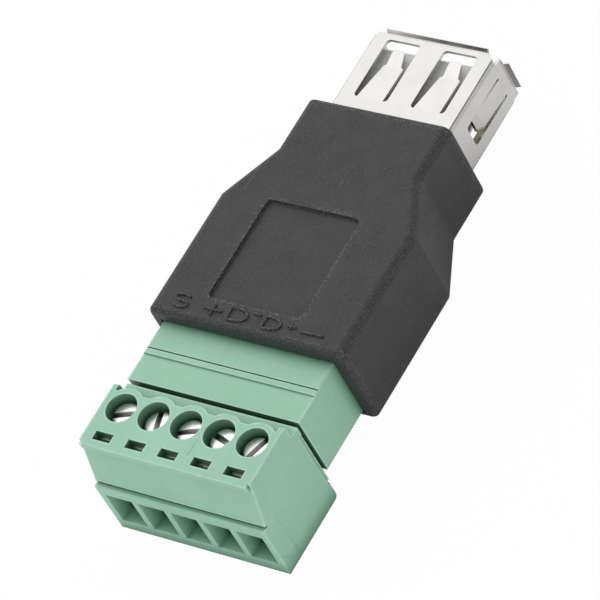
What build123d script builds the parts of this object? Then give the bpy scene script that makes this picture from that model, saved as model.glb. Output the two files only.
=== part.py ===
"""USB socket to five-pole screw terminal adapter.

Millimetres. X is the width, +Y points out of the USB mouth, +Z is up out of the screw heads.
The origin is at the bottom centre of the whole adapter, with the plug pushed fully home.
"""

import os

from build123d import *

# Terminal pitch and poles, which set the widths of the green parts.
PITCH = 3.5
POLES = 5
PLUG_WIDTH = POLES * PITCH + 0.7
HEADER_WIDTH = POLES * PITCH + 0.8

# Lengths along Y, front to back.
PLUG_REACH = 8.9
HEADER_SHOW = 6.2
HEADER_HELD = 3.0
HOUSING_LENGTH = 24.45
SHELL_SHOW = 9.37
SHELL_HELD = 9.05
LIP_REACH = 0.33

# Heights along Z.
PLUG_HEIGHT = 11.1
HEADER_DROP = 1.25
HEADER_HEIGHT = 6.9
HOUSING_RISE = 1.55
HOUSING_FALL = 0.8
HOUSING_THICK = HOUSING_RISE + HEADER_HEIGHT + HOUSING_FALL

# Clearances.
HELD_CLEARANCE = 0.04
NOSE_CLEARANCE = 0.1
CAGE_CLEARANCE = 0.1
INSULATOR_CLEARANCE = 0.05
THREAD_CLEARANCE = 0.05
PIN_CLEARANCE = 0.05
HEAD_CLEARANCE = 0.12

# Stations along Y.
PLUG_FRONT = -(PLUG_REACH + HEADER_SHOW + HOUSING_LENGTH + SHELL_SHOW + LIP_REACH) / 2
HEADER_FACE = PLUG_FRONT + PLUG_REACH
HOUSING_FRONT = HEADER_FACE + HEADER_SHOW
HOUSING_BACK = HOUSING_FRONT + HOUSING_LENGTH
MOUTH = HOUSING_BACK + SHELL_SHOW
SHELL_REAR = HOUSING_BACK - SHELL_HELD
HEADER_BACK = HOUSING_FRONT + HEADER_HELD

# Levels along Z.
HEADER_TOP = PLUG_HEIGHT - HEADER_DROP
HEADER_BOTTOM = HEADER_TOP - HEADER_HEIGHT
HEADER_MID = (HEADER_TOP + HEADER_BOTTOM) / 2
HOUSING_TOP = HEADER_TOP + HOUSING_RISE
HOUSING_BOTTOM = HOUSING_TOP - HOUSING_THICK
HOUSING_MID = (HOUSING_TOP + HOUSING_BOTTOM) / 2

# Pole centres along X, left to right.
POLE_X = [(number - (POLES - 1) / 2) * PITCH for number in range(POLES)]

# USB shell's outside.
SHELL_WIDTH = 13.3
SHELL_HEIGHT = 5.72
SHEET = 0.3
SHELL_RADIUS = 0.5

# Black housing.
SIDE_WALL = 1.325
NARROW_WALL = 1.025
HOUSING_WIDE = HEADER_WIDTH + 2 * SIDE_WALL
HOUSING_NARROW = SHELL_WIDTH + 2 * NARROW_WALL
TAPER_START = 13.1
TAPER_LENGTH = 5.7
TAPER_RADIUS = 0.5
HOUSING_RADIUS = 0.9
FRONT_RADIUS = 0.5
BACK_RADIUS = 0.3
MOUTH_CHAMFER = 0.2
PANEL_BORDER = 5.5
PANEL_WIDTH = HOUSING_WIDE - 2 * PANEL_BORDER
PANEL_X = -0.3
PANEL_START = 2.55
PANEL_LENGTH = 10.85
PANEL_DEPTH = 0.3
PANEL_RADIUS = 0.5

# Header housing, a little off the poles' middle.
HEADER_X = -0.12
HEADER_WALL = 0.8
HEADER_DEPTH = 8.0
HEADER_STEP = 0.15
RIB_START = 2.8
RIB_WIDTH = 0.55
RIB_GROOVE = 0.12
HEADER_RADIUS = 0.15

# Header pins.
PIN_SIZE = 1.0
PIN_TIP = 2.2
PIN_POINT = 0.35
PIN_TAIL = 3.0

# Circuit board, in gaps from the header's back and the shell's rear.
BOARD_WIDTH = HEADER_WIDTH - 1.9
BOARD_THICK = 1.0
BOARD_START = 0.6
BOARD_END_GAP = 1.9

# USB shell's springs, side tongues, lips, cut corners and seam.
SPRING_X = 3.05
SPRING_ROOT = 7.12
SPRING_BEND = 4.0
SPRING_TIP = 1.57
SPRING_DIP = 0.5
SPRING_RISE = 0.03
SPRING_WIDTH = 2.8
SPRING_FOLD_WIDTH = 2.15
SPRING_SHOULDER = 0.15
SPRING_PLATE_WIDTH = 1.6
SPRING_TIP_WIDTH = 1.3
SPRING_CORNER = 0.2
SLIT = 0.4
WINDOW_FRONT = 0.62
WINDOW_RADIUS = 0.35
TONGUE_START = 7.02
TONGUE_END = 1.22
TONGUE_GAP = 1.3
TONGUE_SLIT = 0.2
TONGUE_CORNER = 0.3
TONGUE_WIDTH = 2.05
TONGUE_DIP = 0.2
TONGUE_CURL = 0.7
TONGUE_TURN = 0.35
LIP_X = 0.12
LIP_WIDTH = SHELL_WIDTH - 2.45
LIP_HEIGHT = SHELL_HEIGHT - 2.52
LIP_FLARE = 0.36
SIDE_FLARE = 0.5
LEFT_CORNER = (0.6, 0.52)
RIGHT_CORNER = (1.0, 0.9)
SEAM_WIDTH = 0.14
SEAM_INSET = 0.32
SEAM_DEPTH = 0.2

# USB tongue and its four contacts.
INSULATOR_LENGTH = 6.0
TONGUE_BOARD_WIDTH = SHELL_WIDTH - 2.2
TONGUE_BOARD_THICK = 1.84
TONGUE_RECESS = 0.82
TONGUE_CHAMFER = 0.3
CONTACT_X = [-3.5, -1.0, 1.0, 3.5]
CONTACT_WIDTH = 1.0
CONTACT_THICK = 0.25
CONTACT_RECESS = 1.4
CONTACT_TAIL = 2.6
CONTACT_RISE = 1.0

# Plug housing, in offsets from the header's face and the plug's top.
LIP_FACE = 7.9
LIP_THICK = 0.6
LIP_FALL = 0.13
LIP_INSET = 0.25
SLOPE_TOP = 7.55
SLOPE_FOOT = 8.45
LEDGE_DROP = 5.0
GROOVE = 0.18
GROOVE_DEPTH = 0.25
LEDGE_RADIUS = 0.2
STRIP_DROP = 1.48
STRIP_BACK = 0.4
STRIP_THICK = 0.95
TOP_BACK = 2.04
SCALLOP_RIM = 0.575
END_WALL = 0.5
END_WALL_BACK = 1.4
END_WALL_RADIUS = 0.3
BACK_FACE = 0.8
FOOT_BACK = 0.62
FOOT_HEIGHT = 1.97
FOOT_RADIUS = 0.45
FLANGE_BACK = 0.3
FLANGE_INSET = 0.25
NOSE_LENGTH = 6.9
NOSE_CHAMFER = 0.25

# Screw wells, test slots and wire entries.
WELL_Y = 3.59
WELL_DIAMETER = PITCH - 0.55
WELL_DEPTH = 2.25
LEDGE_BELOW_HEAD = 0.85
TEST_SLOT_WIDTH = PITCH - 1.62
TEST_SLOT_LENGTH = 0.86
TEST_SLOT_Y = 6.72
TEST_SLOT_DEPTH = 0.95
TAB_WIDTH = TEST_SLOT_WIDTH - 0.3
TAB_THICK = 0.2
TAB_RISE = 0.12
ENTRY_WIDTH = PITCH - 0.62
ENTRY_TOP = 5.03
ENTRY_FLOOR = 1.17
FUNNEL_DEPTH = 1.25
PASSAGE_WIDTH = ENTRY_WIDTH - 0.78
PASSAGE_TOP = 3.92
PASSAGE_FLOOR = 1.37

# Rising-cage clamp.
CHAMBER_FRONT = 5.6
CHAMBER_BACK = 1.6
CHAMBER_FLOOR = 0.82
CAGE_WIDTH = PITCH - 0.7
CAGE_LENGTH = 3.2
CAGE_WALL = 0.35
CAGE_TOP_WALL = 0.8
CAGE_BOTTOM = 0.87
CAGE_HEIGHT = 4.65
CAGE_FLOOR = 0.5
CAGE_RADIUS = 0.25
BAR_WIDTH = CAGE_WIDTH - 1.0
BAR_THICK = 0.5
BAR_TOP = 4.67
BAR_FRONT = 7.0
BAR_BACK = 0.9
LEAF_THICK = 0.25
LEAF_HEIGHT = 1.0
LEAF_REACH = 5.2
SOCKET_SIDE = 0.06

# Clamp screw.
HEAD_DIAMETER = WELL_DIAMETER - 0.25
HEAD_HEIGHT = 1.3
HEAD_RADIUS = 0.25
SHANK_DIAMETER = 1.9
SHANK_END_GAP = 0.05
SLOT_WIDTH = 0.5
SLOT_DEPTH = 0.6
SLOT_ANGLES = [20, 106, 20, -16, 70]

OVERLAP = 0.5


def behind(distance):
    """Y of a station that lies this far in front of the header's face."""
    return HEADER_FACE - distance


os.makedirs("parts", exist_ok=True)


# Black housing: wide end round the header, narrow end round the shell.
housing_outline = [
    (-HOUSING_WIDE / 2, HOUSING_FRONT),
    (HOUSING_WIDE / 2, HOUSING_FRONT),
    (HOUSING_WIDE / 2, HOUSING_FRONT + TAPER_START),
    (HOUSING_NARROW / 2, HOUSING_FRONT + TAPER_START + TAPER_LENGTH),
    (HOUSING_NARROW / 2, HOUSING_BACK),
    (-HOUSING_NARROW / 2, HOUSING_BACK),
    (-HOUSING_NARROW / 2, HOUSING_FRONT + TAPER_START + TAPER_LENGTH),
    (-HOUSING_WIDE / 2, HOUSING_FRONT + TAPER_START),
]
panel_y = HOUSING_FRONT + PANEL_START + PANEL_LENGTH / 2
board_front = HEADER_BACK + BOARD_START
board_end = SHELL_REAR - BOARD_END_GAP
board_top = HEADER_MID - PIN_SIZE / 2

with BuildPart() as black_housing:
    with BuildSketch(Plane.XY.offset(HOUSING_BOTTOM)):
        Polygon(*housing_outline, align=None)
    extrude(amount=HOUSING_THICK)
    corners = black_housing.edges().filter_by(Axis.Z)
    fillet(corners.filter_by_position(Axis.Y, HOUSING_FRONT + 1, HOUSING_BACK - 1), TAPER_RADIUS)
    rims = black_housing.faces().filter_by(Plane.XY).edges()
    ends = rims.filter_by_position(Axis.Y, HOUSING_FRONT, HOUSING_FRONT)
    ends += rims.filter_by_position(Axis.Y, HOUSING_BACK, HOUSING_BACK)
    fillet([edge for edge in rims if edge not in ends], HOUSING_RADIUS)
    fillet(black_housing.faces().sort_by(Axis.Y)[0].edges(), FRONT_RADIUS)
    fillet(black_housing.faces().sort_by(Axis.Y)[-1].edges(), BACK_RADIUS)
    with BuildSketch(Plane.XY.offset(HOUSING_TOP - PANEL_DEPTH)):
        with Locations((PANEL_X, panel_y)):
            RectangleRounded(PANEL_WIDTH, PANEL_LENGTH, PANEL_RADIUS)
    extrude(amount=PANEL_DEPTH + OVERLAP, mode=Mode.SUBTRACT)
    with BuildSketch(Plane.XZ.offset(-HEADER_BACK)):
        with Locations((HEADER_X, HEADER_MID)):
            Rectangle(HEADER_WIDTH + 2 * HELD_CLEARANCE, HEADER_HEIGHT + 2 * HELD_CLEARANCE)
    extrude(amount=HEADER_HELD, mode=Mode.SUBTRACT)
    mouth_edges = black_housing.faces().sort_by(Axis.Y)[0].inner_wires()[0].edges()
    chamfer(mouth_edges, MOUTH_CHAMFER)
    with BuildSketch(Plane.XZ.offset(-HOUSING_BACK)):
        with Locations((0, HOUSING_MID)):
            RectangleRounded(
                SHELL_WIDTH + 2 * HELD_CLEARANCE,
                SHELL_HEIGHT + 2 * HELD_CLEARANCE,
                SHELL_RADIUS + HELD_CLEARANCE,
            )
    extrude(amount=SHELL_HELD, mode=Mode.SUBTRACT)
    with Locations((0, (HEADER_BACK + SHELL_REAR) / 2, HEADER_MID)):
        Box(
            BOARD_WIDTH + 2 * HELD_CLEARANCE,
            SHELL_REAR - HEADER_BACK,
            SHELL_HEIGHT,
            mode=Mode.SUBTRACT,
        )
black_housing.part.label = "black_housing"
export_step(black_housing.part, "parts/black_housing.step")


# Header housing: a five-pole shroud open to the front.
with BuildPart() as header_housing:
    header_length = HEADER_SHOW + HEADER_HELD
    with Locations((HEADER_X, HEADER_FACE + header_length / 2, HEADER_MID)):
        Box(HEADER_WIDTH, header_length, HEADER_HEIGHT)
    fillet(header_housing.edges().filter_by(Axis.Y), HEADER_RADIUS)
    with Locations((HEADER_X, HEADER_FACE + RIB_START / 2, HEADER_TOP)):
        Box(HEADER_WIDTH, RIB_START, 2 * HEADER_STEP, mode=Mode.SUBTRACT)
    with Locations((HEADER_X, HEADER_FACE + RIB_START + RIB_WIDTH + RIB_GROOVE / 2, HEADER_TOP)):
        Box(HEADER_WIDTH, RIB_GROOVE, 2 * RIB_GROOVE, mode=Mode.SUBTRACT)
    with Locations((HEADER_X, HEADER_FACE + HEADER_DEPTH / 2, HEADER_MID)):
        Box(
            HEADER_WIDTH - 2 * HEADER_WALL,
            HEADER_DEPTH,
            HEADER_HEIGHT - 2 * HEADER_WALL,
            mode=Mode.SUBTRACT,
        )
    with Locations(*[(x, HEADER_BACK, HEADER_MID) for x in POLE_X]):
        Box(PIN_SIZE, 2 * (header_length - HEADER_DEPTH) + OVERLAP, PIN_SIZE, mode=Mode.SUBTRACT)
header_housing.part.label = "header_housing"
export_step(header_housing.part, "parts/header_housing.step")


# Header pins: square pins through the header's rear wall, with tails on the board's top.
pin_start = HEADER_FACE + PIN_TIP
pin_end = board_front + PIN_TAIL
for number, x in enumerate(POLE_X, start=1):
    with BuildPart() as header_pin:
        with Locations((x, (pin_start + pin_end) / 2, HEADER_MID)):
            Box(PIN_SIZE, pin_end - pin_start, PIN_SIZE)
        chamfer(header_pin.faces().sort_by(Axis.Y)[0].edges(), PIN_POINT)
    header_pin.part.label = f"header_pin_{number}"
    export_step(header_pin.part, f"parts/header_pin_{number}.step")


# Circuit board between the header's tails and the USB contacts' tails.
with BuildPart() as circuit_board:
    with Locations((0, (board_front + board_end) / 2, board_top - BOARD_THICK / 2)):
        Box(BOARD_WIDTH, board_end - board_front, BOARD_THICK)
circuit_board.part.label = "circuit_board"
export_step(circuit_board.part, "parts/circuit_board.step")


# USB shell: a folded sheet tube with four lanced springs, two side tongues and flared lips.
shell_top = HOUSING_MID + SHELL_HEIGHT / 2
shell_side = SHELL_WIDTH / 2
shell_length = MOUTH - SHELL_REAR
spring_start = MOUTH - SPRING_ROOT
spring_fold = spring_start + SPRING_BEND
spring_end = MOUTH - SPRING_TIP
window_end = MOUTH - WINDOW_FRONT
window_width = SPRING_WIDTH + 2 * SLIT
tongue_root = MOUTH - TONGUE_END
slot_end = MOUTH - TONGUE_START
tongue_free = slot_end + TONGUE_GAP

with BuildPart() as usb_shell:
    with BuildSketch(Plane.XZ.offset(-MOUTH)):
        with Locations((0, HOUSING_MID)):
            RectangleRounded(SHELL_WIDTH, SHELL_HEIGHT, SHELL_RADIUS)
            RectangleRounded(
                SHELL_WIDTH - 2 * SHEET,
                SHELL_HEIGHT - 2 * SHEET,
                SHELL_RADIUS - SHEET,
                mode=Mode.SUBTRACT,
            )
    extrude(amount=shell_length)
    # Spring windows through the top and bottom sheets.
    with BuildSketch(Plane.XY.offset(HOUSING_MID - SHELL_HEIGHT)):
        with Locations(*[(x, (spring_start + window_end) / 2) for x in (-SPRING_X, SPRING_X)]):
            RectangleRounded(window_width, window_end - spring_start, WINDOW_RADIUS)
    extrude(amount=2 * SHELL_HEIGHT, mode=Mode.SUBTRACT)
    # Tongue windows through the side sheets.
    with BuildSketch(Plane.YZ.offset(-SHELL_WIDTH)):
        with Locations(((tongue_root + slot_end) / 2, HOUSING_MID)):
            RectangleRounded(tongue_root - slot_end, TONGUE_WIDTH + 2 * TONGUE_SLIT, TONGUE_CORNER)
    extrude(amount=2 * SHELL_WIDTH, mode=Mode.SUBTRACT)
    # Seam where the folded sheet's edges meet.
    with Locations((shell_side - SEAM_INSET, MOUTH - shell_length / 2, shell_top)):
        Box(SEAM_WIDTH, shell_length, 2 * SEAM_DEPTH, mode=Mode.SUBTRACT)
    # Front corners of the top and bottom sheets, cut back between the lips.
    for side, (across, along) in ((-1, LEFT_CORNER), (1, RIGHT_CORNER)):
        for level in (shell_top - SHELL_RADIUS, shell_top - SHELL_HEIGHT - OVERLAP):
            with BuildSketch(Plane.XY.offset(level)):
                Polygon(
                    (side * shell_side, MOUTH - along),
                    (side * shell_side, MOUTH),
                    (side * (shell_side - across), MOUTH),
                    align=None,
                )
            extrude(amount=SHELL_RADIUS + OVERLAP, mode=Mode.SUBTRACT)
    # Spring fingers: down to the fold, then back up to the tip.
    for side in (1, -1):
        outer = HOUSING_MID + side * SHELL_HEIGHT / 2
        finger_line = [
            (spring_start - WINDOW_RADIUS, outer),
            (spring_start, outer),
            (spring_fold, outer - side * SPRING_DIP),
            (spring_end, outer + side * SPRING_RISE),
            (spring_end, outer + side * (SPRING_RISE - SHEET)),
            (spring_fold, outer - side * (SPRING_DIP + SHEET)),
            (spring_start, outer - side * SHEET),
            (spring_start - WINDOW_RADIUS, outer - side * SHEET),
        ]
        finger_plan = [
            (spring_start - WINDOW_RADIUS, SPRING_WIDTH / 2),
            (spring_start, SPRING_WIDTH / 2),
            (spring_fold, SPRING_FOLD_WIDTH / 2),
            (spring_fold + SPRING_SHOULDER, SPRING_PLATE_WIDTH / 2),
            (spring_end - SPRING_CORNER, SPRING_TIP_WIDTH / 2),
            (spring_end, SPRING_TIP_WIDTH / 2 - SPRING_CORNER),
            (spring_end, -SPRING_TIP_WIDTH / 2 + SPRING_CORNER),
            (spring_end - SPRING_CORNER, -SPRING_TIP_WIDTH / 2),
            (spring_fold + SPRING_SHOULDER, -SPRING_PLATE_WIDTH / 2),
            (spring_fold, -SPRING_FOLD_WIDTH / 2),
            (spring_start, -SPRING_WIDTH / 2),
            (spring_start - WINDOW_RADIUS, -SPRING_WIDTH / 2),
        ]
        for spring_x in (-SPRING_X, SPRING_X):
            with BuildPart(mode=Mode.PRIVATE) as finger:
                with BuildSketch(Plane.YZ.offset(spring_x - SPRING_WIDTH)):
                    Polygon(*finger_line, align=None)
                extrude(amount=2 * SPRING_WIDTH)
                with BuildSketch(Plane.XY.offset(outer - SHELL_HEIGHT / 2)):
                    Polygon(*[(spring_x + x, y) for y, x in finger_plan], align=None)
                extrude(amount=SHELL_HEIGHT, mode=Mode.INTERSECT)
            add(finger.part)
    # Side tongues, free at the housing end and curled inwards there.
    for side in (1, -1):
        outer = side * shell_side
        tongue_line = [
            (outer, tongue_root + WINDOW_RADIUS),
            (outer, tongue_root),
            (outer - side * TONGUE_DIP, tongue_free + TONGUE_CURL),
            (outer - side * (TONGUE_DIP + TONGUE_TURN), tongue_free),
            (outer - side * (TONGUE_DIP + TONGUE_TURN + SHEET), tongue_free),
            (outer - side * (TONGUE_DIP + SHEET), tongue_free + TONGUE_CURL),
            (outer - side * SHEET, tongue_root),
            (outer - side * SHEET, tongue_root + WINDOW_RADIUS),
        ]
        with BuildSketch(Plane.XY.offset(HOUSING_MID - TONGUE_WIDTH / 2)):
            Polygon(*tongue_line, align=None)
        extrude(amount=TONGUE_WIDTH)
    # Flared lips round the mouth.
    for side in (1, -1):
        outer = HOUSING_MID + side * SHELL_HEIGHT / 2
        with BuildSketch(Plane.YZ.offset(LIP_X - LIP_WIDTH / 2)):
            Polygon(
                (MOUTH - SHEET, outer),
                (MOUTH, outer),
                (MOUTH + LIP_REACH - SHEET / 2, outer + side * LIP_FLARE),
                (MOUTH + LIP_REACH, outer + side * (LIP_FLARE - SHEET / 2)),
                (MOUTH, outer - side * SHEET),
                (MOUTH - SHEET, outer - side * SHEET),
                align=None,
            )
        extrude(amount=LIP_WIDTH)
        outer = side * shell_side
        with BuildSketch(Plane.XY.offset(HOUSING_MID - LIP_HEIGHT / 2)):
            Polygon(
                (outer, MOUTH - SHEET),
                (outer, MOUTH),
                (outer + side * SIDE_FLARE, MOUTH + LIP_REACH - SHEET / 2),
                (outer + side * (SIDE_FLARE - SHEET / 2), MOUTH + LIP_REACH),
                (outer - side * SHEET, MOUTH),
                (outer - side * SHEET, MOUTH - SHEET),
                align=None,
            )
        extrude(amount=LIP_HEIGHT)
usb_shell.part.label = "usb_shell"
export_step(usb_shell.part, "parts/usb_shell.step")


# USB insulator: a rear block that fills the shell, with the tongue that carries the contacts.
inner_width = SHELL_WIDTH - 2 * SHEET
inner_height = SHELL_HEIGHT - 2 * SHEET
tongue_tip = MOUTH - TONGUE_RECESS
contact_tip = tongue_tip - CONTACT_RECESS
contact_low = HOUSING_MID - CONTACT_THICK / 2
with BuildPart() as usb_insulator:
    with Locations((0, SHELL_REAR + INSULATOR_LENGTH / 2, HOUSING_MID)):
        Box(
            inner_width - 2 * INSULATOR_CLEARANCE,
            INSULATOR_LENGTH,
            inner_height - 2 * INSULATOR_CLEARANCE,
        )
    chamfer(usb_insulator.edges().filter_by(Axis.Y), SHELL_RADIUS - SHEET)
    with Locations(
        (
            0,
            (SHELL_REAR + tongue_tip) / 2,
            HOUSING_MID + TONGUE_BOARD_THICK / 2,
        )
    ):
        Box(TONGUE_BOARD_WIDTH, tongue_tip - SHELL_REAR, TONGUE_BOARD_THICK)
    tip_edges = usb_insulator.faces().sort_by(Axis.Y)[-1].edges().filter_by(Axis.X)
    chamfer(tip_edges, TONGUE_CHAMFER)
    # Slots that hold the contacts half sunk in the tongue's lower face.
    with Locations(*[(x, (SHELL_REAR + contact_tip) / 2, HOUSING_MID) for x in CONTACT_X]):
        Box(
            CONTACT_WIDTH,
            contact_tip - SHELL_REAR,
            CONTACT_THICK,
            mode=Mode.SUBTRACT,
        )
usb_insulator.part.label = "usb_insulator"
export_step(usb_insulator.part, "parts/usb_insulator.step")


# USB contacts: straight under the tongue, stepping down to the board behind it.
for number, x in enumerate(CONTACT_X, start=1):
    with BuildPart() as usb_contact:
        with BuildSketch(Plane.YZ.offset(x - CONTACT_WIDTH / 2)):
            Polygon(
                (contact_tip, contact_low),
                (contact_tip, contact_low + CONTACT_THICK),
                (SHELL_REAR - CONTACT_THICK, contact_low + CONTACT_THICK),
                (SHELL_REAR - CONTACT_RISE, board_top + CONTACT_THICK),
                (SHELL_REAR - CONTACT_TAIL, board_top + CONTACT_THICK),
                (SHELL_REAR - CONTACT_TAIL, board_top),
                (SHELL_REAR - CONTACT_RISE + CONTACT_THICK / 2, board_top),
                (SHELL_REAR - CONTACT_THICK / 2, contact_low),
                align=None,
            )
        extrude(amount=CONTACT_WIDTH)
    usb_contact.part.label = f"usb_contact_{number}"
    export_step(usb_contact.part, f"parts/usb_contact_{number}.step")


# Plug housing: five wells, scalloped top edge, test slots, wire funnels and clamp chambers.
strip_level = PLUG_HEIGHT - STRIP_DROP
ledge_level = PLUG_HEIGHT - LEDGE_DROP
head_seat = PLUG_HEIGHT - WELL_DEPTH
chamber_top = head_seat - LEDGE_BELOW_HEAD
test_floor = PLUG_HEIGHT - TEST_SLOT_DEPTH
tab_y = behind(TEST_SLOT_Y) + (TEST_SLOT_LENGTH - TAB_THICK) / 2
bar_low = BAR_TOP - BAR_THICK
bar_mid = BAR_TOP - BAR_THICK / 2
socket_half = (PIN_SIZE / 2 + PIN_CLEARANCE) + LEAF_THICK + SOCKET_SIDE
plug_section = [
    (behind(LIP_FACE), PLUG_HEIGHT),
    (behind(LIP_FACE), PLUG_HEIGHT - LIP_THICK),
    (behind(SLOPE_TOP), PLUG_HEIGHT - LIP_THICK - LIP_FALL),
    (behind(SLOPE_FOOT), ledge_level + GROOVE),
    (behind(SLOPE_FOOT - GROOVE_DEPTH), ledge_level + GROOVE),
    (behind(SLOPE_FOOT - GROOVE_DEPTH), ledge_level),
    (behind(PLUG_REACH), ledge_level),
    (behind(PLUG_REACH), 0),
    (behind(FOOT_BACK), 0),
    (behind(FOOT_BACK), FOOT_HEIGHT),
    (behind(BACK_FACE), FOOT_HEIGHT),
    (behind(BACK_FACE), strip_level - STRIP_THICK),
    (behind(STRIP_BACK), strip_level - STRIP_THICK),
    (behind(STRIP_BACK), strip_level),
    (behind(END_WALL_BACK), strip_level),
    (behind(END_WALL_BACK), PLUG_HEIGHT),
]
with BuildPart() as plug_housing:
    with BuildSketch(Plane.YZ.offset(-PLUG_WIDTH / 2)):
        Polygon(*plug_section, align=None)
    extrude(amount=PLUG_WIDTH)
    long_edges = plug_housing.edges().filter_by(Axis.X)
    foot_edges = long_edges.group_by(Axis.Z)[0].sort_by(Axis.Y)
    fillet(foot_edges[-1], FOOT_RADIUS)
    ledge_edges = long_edges.filter_by_position(Axis.Y, behind(PLUG_REACH), behind(PLUG_REACH))
    fillet(ledge_edges.sort_by(Axis.Z)[-1], LEDGE_RADIUS)
    fillet(long_edges.group_by(Axis.Z)[-1].sort_by(Axis.Y)[-1], END_WALL_RADIUS)
    # The overhanging lip stops short of both side faces.
    for side in (1, -1):
        with BuildSketch(Plane.YZ.offset(side * (PLUG_WIDTH / 2 - LIP_INSET))):
            Polygon(
                (behind(LIP_FACE + OVERLAP), PLUG_HEIGHT + OVERLAP),
                (behind(LIP_FACE + OVERLAP), PLUG_HEIGHT - LIP_THICK - LIP_FALL),
                (behind(SLOPE_TOP), PLUG_HEIGHT - LIP_THICK - LIP_FALL),
                (behind(SLOPE_TOP - LIP_FALL), PLUG_HEIGHT + OVERLAP),
                align=None,
            )
        extrude(amount=side * LIP_INSET, mode=Mode.SUBTRACT)
    # Scalloped rear edge of the top face: between the end walls the top is cut back to a straight
    # line, and a round boss stands out of it at each well.
    with BuildSketch(Plane.XY.offset(strip_level)):
        with Locations((0, behind((TOP_BACK + END_WALL_BACK) / 2) + OVERLAP / 2)):
            Rectangle(PLUG_WIDTH - 2 * END_WALL, TOP_BACK - END_WALL_BACK + OVERLAP)
        with Locations(*[(x, behind(WELL_Y)) for x in POLE_X]):
            Circle(WELL_DIAMETER / 2 + SCALLOP_RIM, mode=Mode.SUBTRACT)
    extrude(amount=STRIP_DROP + OVERLAP, mode=Mode.SUBTRACT)
    # Inset flange on the back and the nose that enters the header.
    with BuildSketch(Plane.XZ.offset(-behind(BACK_FACE + OVERLAP))):
        with Locations((0, (FOOT_HEIGHT + strip_level - STRIP_THICK) / 2)):
            Rectangle(PLUG_WIDTH - 2 * FLANGE_INSET, strip_level - STRIP_THICK - FOOT_HEIGHT)
    extrude(amount=-(BACK_FACE + OVERLAP - FLANGE_BACK))
    with BuildSketch(Plane.XZ.offset(-behind(BACK_FACE))):
        with Locations((HEADER_X, HEADER_MID)):
            Rectangle(
                HEADER_WIDTH - 2 * (HEADER_WALL + NOSE_CLEARANCE),
                HEADER_HEIGHT - 2 * (HEADER_WALL + NOSE_CLEARANCE),
            )
    extrude(amount=-(BACK_FACE + NOSE_LENGTH))
    chamfer(plug_housing.faces().sort_by(Axis.Y)[-1].edges(), NOSE_CHAMFER)
    # Screw wells, ledges under the screw heads and clamp chambers.
    with BuildSketch(Plane.XY.offset(head_seat)):
        with Locations(*[(x, behind(WELL_Y)) for x in POLE_X]):
            Circle(WELL_DIAMETER / 2)
    extrude(amount=WELL_DEPTH, mode=Mode.SUBTRACT)
    with BuildSketch(Plane.XY.offset(chamber_top)):
        with Locations(*[(x, behind(WELL_Y)) for x in POLE_X]):
            Circle(SHANK_DIAMETER / 2 + HEAD_CLEARANCE)
    extrude(amount=LEDGE_BELOW_HEAD, mode=Mode.SUBTRACT)
    with BuildSketch(Plane.XY.offset(CHAMBER_FLOOR)):
        with Locations(*[(x, behind((CHAMBER_FRONT + CHAMBER_BACK) / 2)) for x in POLE_X]):
            Rectangle(CAGE_WIDTH + 2 * CAGE_CLEARANCE, CHAMBER_FRONT - CHAMBER_BACK)
    extrude(amount=chamber_top - CHAMBER_FLOOR, mode=Mode.SUBTRACT)
    # Test slots, and below each one's rear the gap for the contact's test tab.
    with BuildSketch(Plane.XY.offset(test_floor)):
        with Locations(*[(x, behind(TEST_SLOT_Y)) for x in POLE_X]):
            Rectangle(TEST_SLOT_WIDTH, TEST_SLOT_LENGTH)
    extrude(amount=TEST_SLOT_DEPTH, mode=Mode.SUBTRACT)
    with BuildSketch(Plane.XY.offset(BAR_TOP)):
        with Locations(*[(x, tab_y) for x in POLE_X]):
            Rectangle(TAB_WIDTH, TAB_THICK)
    extrude(amount=test_floor - BAR_TOP, mode=Mode.SUBTRACT)
    # Wire passages with funnel mouths.
    with BuildSketch(Plane.XZ.offset(-behind(CHAMBER_FRONT - OVERLAP))):
        with Locations(*[(x, (PASSAGE_TOP + PASSAGE_FLOOR) / 2) for x in POLE_X]):
            Rectangle(PASSAGE_WIDTH, PASSAGE_TOP - PASSAGE_FLOOR)
    extrude(amount=PLUG_REACH - CHAMBER_FRONT + OVERLAP, mode=Mode.SUBTRACT)
    for x in POLE_X:
        with BuildSketch(Plane.XZ.offset(-behind(PLUG_REACH))):
            with Locations((x, (ENTRY_TOP + ENTRY_FLOOR) / 2)):
                Rectangle(ENTRY_WIDTH, ENTRY_TOP - ENTRY_FLOOR)
        with BuildSketch(Plane.XZ.offset(-behind(PLUG_REACH - FUNNEL_DEPTH))):
            with Locations((x, (PASSAGE_TOP + PASSAGE_FLOOR) / 2)):
                Rectangle(PASSAGE_WIDTH, PASSAGE_TOP - PASSAGE_FLOOR)
        loft(mode=Mode.SUBTRACT)
    # Slots for the contact bars and their risers, and the pin sockets in the nose.
    bar_slot = BAR_WIDTH + 2 * PIN_CLEARANCE
    with Locations(*[(x, behind((BAR_FRONT + BAR_BACK) / 2), bar_mid) for x in POLE_X]):
        Box(bar_slot, BAR_FRONT - BAR_BACK, BAR_THICK, mode=Mode.SUBTRACT)
    riser_top = HEADER_MID + LEAF_HEIGHT / 2
    with Locations(
        *[(x, behind(BAR_BACK + BAR_THICK / 2), (bar_low + riser_top) / 2) for x in POLE_X]
    ):
        Box(bar_slot, BAR_THICK, riser_top - bar_low, mode=Mode.SUBTRACT)
    with Locations(*[(x, behind((BAR_BACK - NOSE_LENGTH) / 2), HEADER_MID) for x in POLE_X]):
        Box(2 * socket_half, BAR_BACK + NOSE_LENGTH, PIN_SIZE + 2 * PIN_CLEARANCE, mode=Mode.SUBTRACT)
plug_housing.part.label = "plug_housing"
export_step(plug_housing.part, "parts/plug_housing.step")


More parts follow.
